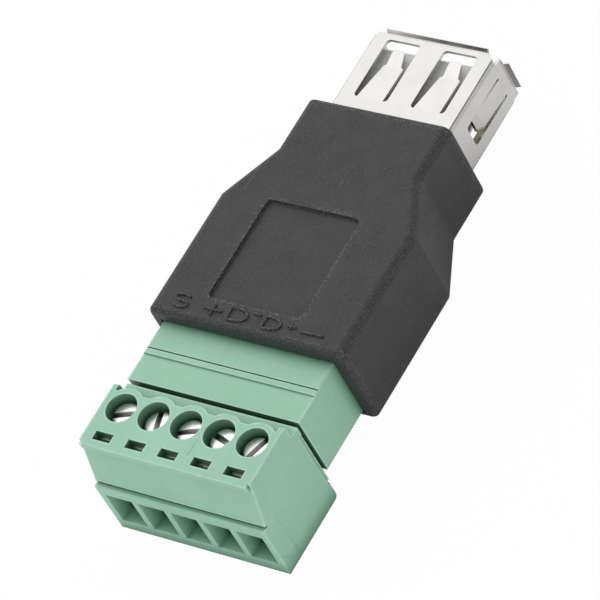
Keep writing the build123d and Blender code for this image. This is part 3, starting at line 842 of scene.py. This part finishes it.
@dataclass
class TerminalMarks:
    """Raised marks on the black housing, one above each pole: S, +, D-, D+ and -.

    Each place is an X and a distance in Y from the row, in millimetres.
    """

    level: float
    row: float
    stroke: float = 0.22
    height: float = 0.17
    sunk: float = 0.05
    letter_s_at: Span = (-7.38, 0)
    letter_s_size: Span = (1.56, 1.3)
    plus_at: Span = (-3.9, -0.15)
    plus_reach: float = 0.95
    plus_rise: float = 0.62
    first_d_at: Span = (-1.22, -0.1)
    first_d_size: Span = (1.9, 1.3)
    raised_minus_at: Span = (0.58, 0.42)
    raised_minus_reach: Span = (0.4, 0)
    second_d_at: Span = (2.45, -0.15)
    second_d_size: Span = (1.7, 1.2)
    raised_plus_at: Span = (4.42, 0.05)
    raised_plus_reach: float = 0.42
    minus_at: Span = (6.66, -0.2)
    minus_reach: Span = (1.15, 0.02)

    def flat(self, points: np.ndarray) -> np.ndarray:
        """Lay flat points on the housing's top.

        Args:
            points: Points of shape n, 2, with Y measured from the row.

        Returns:
            Points of shape n, 3.
        """
        lifted = np.full(len(points), self.level)
        return np.column_stack([points[:, 0], self.row + points[:, 1], lifted])

    def line(self, at: Span, reach: Span) -> np.ndarray:
        """A straight stroke.

        Args:
            at: Its middle.
            reach: How far it goes each way in X and Y.

        Returns:
            The stroke's points.
        """
        (x, y), (dx, dy) = at, reach
        return self.flat(straight((x - dx, y - dy), (x + dx, y + dy)))

    def plus(self, at: Span, reach: float) -> list[np.ndarray]:
        """A plus sign, less tall than wide.

        Args:
            at: Its middle.
            reach: How far it goes each way in X.

        Returns:
            Its two strokes.
        """
        return [self.line(at, (reach, 0)), self.line(at, (0, reach * self.plus_rise))]

    def letter_s(self, at: Span, size: Span) -> list[np.ndarray]:
        """A letter of two bows in one stroke.

        With w half the width and h a quarter of the height, the upper bow is x = w cos t,
        y = h + h sin t for t from 25 to 270 degrees, and the lower one x = w cos t,
        y = -h + h sin t for t from 90 down to -155 degrees.

        Args:
            at: Its middle.
            size: Its width and height.

        Returns:
            Its stroke.
        """
        x, y = at
        half_w, quarter_h = size[0] / 2, size[1] / 4
        top = np.radians(np.linspace(25, 270, 16))
        low = np.radians(np.linspace(90, -155, 16))
        upper = (x + half_w * np.cos(top), y + quarter_h + quarter_h * np.sin(top))
        lower = (x + half_w * np.cos(low), y - quarter_h + quarter_h * np.sin(low))
        bows = np.concatenate([np.column_stack(upper), np.column_stack(lower)[1:]])
        return [self.flat(bows)]

    def letter_d(self, at: Span, size: Span) -> list[np.ndarray]:
        """A letter of a stem and a bow.

        With w half the width and h half the height, the bow is x = -w + 2 w cos t to the power
        0.75, y = h sin t to the power 0.9 with its sign kept, for t from -90 to 90 degrees.

        Args:
            at: Its middle.
            size: Its width and height.

        Returns:
            Its two strokes.
        """
        x, y = at
        half_w, half_h = size[0] / 2, size[1] / 2
        turn = np.linspace(-math.pi / 2, math.pi / 2, 23)
        across = -half_w + 2 * half_w * np.cos(turn) ** 0.75
        rise = half_h * np.sign(np.sin(turn)) * np.abs(np.sin(turn)) ** 0.9
        bow = self.flat(np.column_stack([x + across, y + rise]))
        return [bow, self.line((x - half_w, y), (0, half_h))]

    def build(self, finishes: Finishes) -> None:
        """Make the row of marks as one piece.

        Args:
            finishes: The adapter's finishes.
        """
        strokes = (
            self.letter_s(self.letter_s_at, self.letter_s_size)
            + self.plus(self.plus_at, self.plus_reach)
            + self.letter_d(self.first_d_at, self.first_d_size)
            + [self.line(self.raised_minus_at, self.raised_minus_reach)]
            + self.letter_d(self.second_d_at, self.second_d_size)
            + self.plus(self.raised_plus_at, self.raised_plus_reach)
            + [self.line(self.minus_at, self.minus_reach)]
        )
        profile = ridge_profile(self.stroke, self.height, self.sunk)
        marks = piece(
            "terminal_marks",
            [swept(stroke, profile, (0, 0, 1)) for stroke in strokes],
            finishes.table["black_plastic"],
        )
        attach(marks, Body.ADAPTER.value)
        log.info("terminal_marks: %d strokes", len(strokes))


@dataclass
class HousingEnd:
    """The black moulding with its marks, whose row lies marks_in behind its front."""

    top: float
    front: float
    marks_in: float = 1.55

    def build(self, finishes: Finishes) -> None:
        """Dress the moulding and add its marks.

        Args:
            finishes: The adapter's finishes.
        """
        finishes.dress("black_housing", "black_plastic")
        TerminalMarks(level=self.top, row=self.front + self.marks_in).build(finishes)


@dataclass
class UsbEnd:
    """The folded shell, the white insulator and the four contacts."""

    contacts: int = 4

    def build(self, finishes: Finishes) -> None:
        """Dress the socket's solids.

        Args:
            finishes: The adapter's finishes.
        """
        finishes.dress("usb_shell", "nickel_shell")
        finishes.dress("usb_insulator", "white_plastic")
        for number in range(1, self.contacts + 1):
            finishes.dress(f"usb_contact_{number}", "contact_metal")


@dataclass
class HeaderEnd:
    """The green header, its pins and the board behind it."""

    poles: int = 5

    def build(self, finishes: Finishes) -> None:
        """Dress the header's solids.

        Args:
            finishes: The adapter's finishes.
        """
        finishes.dress("header_housing", "green_plastic")
        finishes.dress("circuit_board", "board_laminate")
        for number in range(1, self.poles + 1):
            finishes.dress(f"header_pin_{number}", "pin_metal")


@dataclass
class ClampScrew:
    """A slotted clamp screw with a rolled thread, in millimetres.

    The slot's wall starts slot_lip under the crown. At the first distance of wall_run in from
    the slot's edge it is within wall_foot of the floor, and at the second it is on it. Outside
    the slot the head's loops are spaced by angle, from the rim to last_loop in radians.
    """

    number: int
    x: float
    y: float
    seat: float
    tip: float
    slot_angle: float
    head_radius: float = 1.35
    head_height: float = 1.3
    edge: float = 0.22
    slot_width: float = 0.5
    slot_depth: float = 0.6
    slot_lip: float = 0.04
    wall_run: Span = (0.01, 0.05)
    wall_foot: float = 0.05
    last_loop: float = 0.42
    rim_loops: int = 12
    floor_loops: int = 4
    chord_points: int = 25
    thread_radius: float = 0.94
    thread_depth: float = 0.2
    pitch: float = 0.4
    dome: float = 0.05
    fade_in: float = 0.4
    fade_out: float = 0.5
    rings_per_pitch: int = 10
    ring_points: int = 32

    def head(self) -> np.ndarray:
        """The head as loops across it, from one side to the other.

        Each row is a loop at one distance d across the slot: along the top from -c to c and
        back along the flat underside, where c is the half chord, the root of R squared minus d
        squared. The top's height is H, less the drop of a quarter round of radius e within e of
        the rim, less a dome of 0.05 times the square of r / R, and less the slot's depth where
        the distance is under half the slot's width.

        Returns:
            The grid of loops, slot along the first axis.
        """
        radius, half = self.head_radius, self.slot_width / 2
        (near, full), deep, lip = self.wall_run, self.slot_depth, self.slot_lip
        outside = np.concatenate([
            radius * np.sin(np.linspace(-math.pi / 2, -self.last_loop, self.rim_loops)),
            [-half - 2 * lip, -half - lip],
        ])
        wall = np.array([-half, -half + near, -half + full])
        floor = np.linspace(-half + 2 * full, half - 2 * full, self.floor_loops)
        across = np.concatenate([outside, wall, floor, -wall[::-1], -outside[::-1]])
        depth = np.interp(
            np.abs(across),
            [0, half - full, half - near, half, half + lip, radius],
            [deep, deep, deep - self.wall_foot, lip, 0, 0],
        )
        chord = np.sqrt(np.maximum(radius**2 - across**2, 0))
        share = np.sin(np.linspace(-math.pi / 2, math.pi / 2, self.chord_points))
        along = chord[:, None] * share[None]
        out = np.hypot(along, across[:, None])
        into = np.clip(out - (radius - self.edge), 0, self.edge)
        crown = self.head_height - (self.edge - np.sqrt(np.maximum(self.edge**2 - into**2, 0)))
        crown -= self.dome * (out / radius) ** 2
        top = np.minimum(crown, self.head_height) - depth[:, None]
        upper = np.stack([along, np.broadcast_to(across[:, None], along.shape), top], axis=-1)
        lower = upper[:, ::-1].copy()
        lower[..., 2] = 0
        return np.concatenate([upper, lower], axis=1)

    def shank(self) -> np.ndarray:
        """The shank as rings of points from the tip to the head.

        The radius at height z and angle t is the thread's radius less its depth times twice the
        distance of z / pitch - t / (2 pi) from the nearest whole number, and it fades to the
        root at both ends.

        Returns:
            The grid of rings.
        """
        length = self.seat - self.tip
        rise = np.linspace(0, length, int(length / self.pitch * self.rings_per_pitch))
        turn = np.linspace(0, 2 * math.pi, self.ring_points + 1)[:-1]
        phase = rise[:, None] / self.pitch - turn[None] / (2 * math.pi)
        away = np.abs(phase - np.round(phase)) * 2
        fade = np.clip(rise / self.fade_in, 0, 1)
        fade *= np.clip((length - rise) / self.fade_out, 0, 1)
        radius = self.thread_radius - self.thread_depth * (1 - (1 - away) * fade[:, None])
        flat = np.broadcast_to(rise[:, None] - length, radius.shape)
        return np.stack([radius * np.cos(turn), radius * np.sin(turn), flat], axis=-1)

    def build(self, finishes: Finishes) -> None:
        """Make the screw in place of its solid.

        Args:
            finishes: The adapter's finishes.
        """
        angle = math.radians(self.slot_angle)
        turned = np.array([
            [math.cos(angle), math.sin(angle), 0],
            [-math.sin(angle), math.cos(angle), 0],
            [0, 0, 1],
        ])
        place = np.array([self.x, self.y, self.seat])
        made = piece(
            f"threaded_screw_{self.number}",
            [self.head() @ turned + place, self.shank() + place],
            finishes.table["screw_metal"],
        )
        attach(made, f"screw_{self.number}")
        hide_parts(f"clamp_screw_{self.number}")
        log.info("threaded_screw_%d: slot at %s degrees", self.number, self.slot_angle)


@dataclass
class PlugEnd:
    """The pluggable block with its clamps, in millimetres.

    The mould lines' places are measured from the header's face in Y.
    """

    face: float
    top: float
    pole_x: Sequence[float] = (-7.0, -3.5, 0.0, 3.5, 7.0)
    slot_angles: Sequence[float] = (20, 106, 20, -16, 70)
    well_in: float = 3.59
    screw_seat: float = 8.85
    screw_tip: float = 4.72
    half_width: float = 9.1
    line_width: float = 0.09
    line_height: float = 0.025
    line_sunk: float = 0.02
    top_line: Sequence[Span] = ((1.8, -6.27), (1.84, -4.67))
    side_line: Sequence[Span] = ((-6.95, 5.67), (-6.9, 0.79), (-7.62, 0.84), (-8.8, 2.35))

    def mould_lines(self, finishes: Finishes) -> None:
        """Thin raised lines that the mould left on the top and on both sides.

        Args:
            finishes: The adapter's finishes.
        """
        profile = ridge_profile(self.line_width, self.line_height, self.line_sunk, 5)
        start, end = ((x, self.face + y, self.top) for x, y in self.top_line)
        grids = [swept(straight(start, end), profile, (0, 0, 1))]
        for side in Side:
            x = side.value * self.half_width
            corners = [(x, self.face + y, z) for y, z in self.side_line]
            for start, end in zip(corners, corners[1:]):
                grids.append(swept(straight(start, end), profile, (side.value, 0, 0)))
        made = piece("mould_lines", grids, finishes.table["green_plastic"])
        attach(made, Body.PLUG.value)
        log.info("mould_lines: %d lines", len(grids))

    def build(self, finishes: Finishes) -> None:
        """Dress the block's solids and make its screws.

        Args:
            finishes: The adapter's finishes.
        """
        finishes.dress("plug_housing", "green_plastic")
        self.mould_lines(finishes)
        for number, (x, angle) in enumerate(zip(self.pole_x, self.slot_angles), start=1):
            finishes.dress(f"plug_contact_{number}", "pin_metal")
            finishes.dress(f"clamp_cage_{number}", "cage_metal")
            ClampScrew(
                number=number,
                x=x,
                y=self.face - self.well_in,
                seat=self.screw_seat,
                tip=self.screw_tip,
                slot_angle=angle,
            ).build(finishes)


@dataclass(frozen=True)
class SoftLamp:
    """A square soft lamp: places and side in metres, power in watts."""

    name: str
    place: Point
    aim: Point
    side: float
    power: float

    def build(self) -> None:
        """Place the lamp and turn it to its aim."""
        data = bpy.data.lights.new(self.name, "AREA")
        data.size, data.energy = self.side, self.power
        made = placed(self.name, data)
        made.location = self.place
        toward = Vector(self.aim) - Vector(self.place)
        made.rotation_euler = toward.to_track_quat("-Z", "Y").to_euler()
        log.info("%s: %.2f W", self.name, self.power)


@dataclass
class Studio:
    """A pale floor, soft lamps and a white surround.

    The floor's size is in metres and its reach, over which the object darkens the floor in
    mirrored light, in millimetres.
    """

    floor_size: float = 2.0
    floor_colour: Colour = (0.82, 0.82, 0.82)
    floor_roughness: float = 0.9
    floor_share: float = 0.03
    floor_mirrored: float = 1.0
    floor_reach: float = 16.0
    floor_hidden: Span = (0.1, 0.38)
    sky_mirrored: float = 0.2
    zenith: float = 0.55
    horizon: float = 0.84
    ground: float = 0.5
    lamps: Sequence[SoftLamp] = (
        SoftLamp("rear_softbox", (-0.34, 0.25, 0.43), (0, 0, 0), 0.8, 1.6),
        SoftLamp("spring_light", (-0.34, -0.065, 0.5), (0, 0.02, 0.01), 0.3, 0.05),
        SoftLamp("front_fill", (0.3, -0.5, 0.3), (0, 0, 0.005), 0.4, 0.3),
    )

    def floor(self) -> None:
        """A pale floor that a camera sees as white, with a little of its own shading left."""
        sheet = ShaderSheet("studio_floor")
        sheet.set(Base_Color=(*self.floor_colour, 1), Roughness=self.floor_roughness)
        glow = sheet.node("ShaderNodeEmission")
        glow.inputs["Strength"].default_value = 1.0
        hidden = sheet.hidden(self.floor_reach)
        open_floor = sheet.remap(hidden, self.floor_hidden, (self.floor_mirrored, 0))
        blend = sheet.node("ShaderNodeMixShader")
        seen = sheet.maths("MULTIPLY", sheet.seen(open_floor), 1 - self.floor_share)
        for source, target in zip((seen, sheet.shader.outputs[0], glow.outputs[0]), blend.inputs):
            sheet.join(source, target)
        sheet.join(blend.outputs[0], sheet.output.inputs[0])
        half = self.floor_size / 2
        mesh = bpy.data.meshes.new("studio_floor")
        corners = [(-half, -half, 0), (half, -half, 0), (half, half, 0), (-half, half, 0)]
        mesh.from_pydata(corners, [], [(0, 1, 2, 3)])
        mesh.materials.append(sheet.material)
        made = placed("studio_floor", mesh)
        log.info("studio_floor: %.1f m", self.floor_size)

    def surround(self) -> None:
        """A white surround to the camera and through clear parts, partly so in mirrored light.

        To everything else it has a bright horizon and a dimmer zenith and ground.
        """
        world = bpy.data.worlds.new("surround")
        bpy.context.scene.world = world
        world.use_nodes = True
        sheet = NodeSheet(world.node_tree)
        parts = sheet.node("ShaderNodeSeparateXYZ")
        sheet.join(sheet.node("ShaderNodeTexCoord").outputs["Generated"], parts.inputs[0])
        ramp = sheet.node("ShaderNodeValToRGB")
        sheet.join(sheet.remap(parts.outputs["Z"], (-1, 1)), ramp.inputs[0])
        stops = ramp.color_ramp.elements
        stops[0].color = (self.ground,) * 3 + (1,)
        stops[1].color = (self.zenith,) * 3 + (1,)
        stops.new(0.5).color = (self.horizon,) * 3 + (1,)
        back = sheet.node("ShaderNodeBackground")
        light = sheet.mixed(sheet.seen(self.sky_mirrored), ramp.outputs[0], WHITE)
        sheet.join(light, back.inputs[0])
        sheet.join(back.outputs[0], sheet.node("ShaderNodeOutputWorld").inputs[0])
        log.info("surround: horizon %.2f, zenith %.2f", self.horizon, self.zenith)

    def build(self) -> None:
        """Set up the floor, the surround and the lamps."""
        self.floor()
        self.surround()
        for lamp in self.lamps:
            lamp.build()
        bpy.context.scene.view_settings.view_transform = "Standard"


@dataclass
class PhotoCamera:
    """The camera where the photograph was taken.

    Its offset, in metres, is measured from the middle of the header's upper front edge, and its
    right, down and forward directions are unit vectors of the frame.
    """

    header_face: float
    header_top: float
    offset: Point = (0.235992, -0.154609, 0.290506)
    right: Point = (0.796924, 0.480226, -0.366464)
    down: Point = (0.192755, -0.777088, -0.599149)
    forward: Point = (-0.572501, 0.406838, -0.711846)
    focal_pixels: float = 4806.5
    picture: int = 600
    sensor_width: float = 36

    def build(self) -> None:
        """Make the camera and choose it."""
        data = bpy.data.cameras.new("photo_camera")
        data.sensor_width = self.sensor_width
        data.lens = self.focal_pixels / self.picture * self.sensor_width
        made = placed("photo_camera", data)
        axes = (self.right, [-v for v in self.down], [-v for v in self.forward])
        turn = Matrix(axes).transposed().to_4x4()
        corner = Vector((0, self.header_face * MM, self.header_top * MM))
        made.matrix_world = Matrix.Translation(corner + Vector(self.offset)) @ turn
        bpy.context.scene.camera = made
        log.info("camera with a %.1f mm lens", data.lens)


def main() -> None:
    """Build the dressed adapter, its studio and its camera."""
    logging.basicConfig(level=logging.INFO, format="%(name)s: %(message)s")
    finishes = Finishes()
    housing_low, housing_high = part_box("black_housing")
    header_low, header_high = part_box("header_housing")
    face, header_top = header_low.y / MM, header_high.z / MM
    HousingEnd(top=housing_high.z / MM, front=housing_low.y / MM).build(finishes)
    UsbEnd().build(finishes)
    HeaderEnd().build(finishes)
    PlugEnd(face=face, top=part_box("plug_housing")[1].z / MM).build(finishes)
    Studio().build()
    PhotoCamera(header_face=face, header_top=header_top).build()


if __name__ == "__main__":
    main()
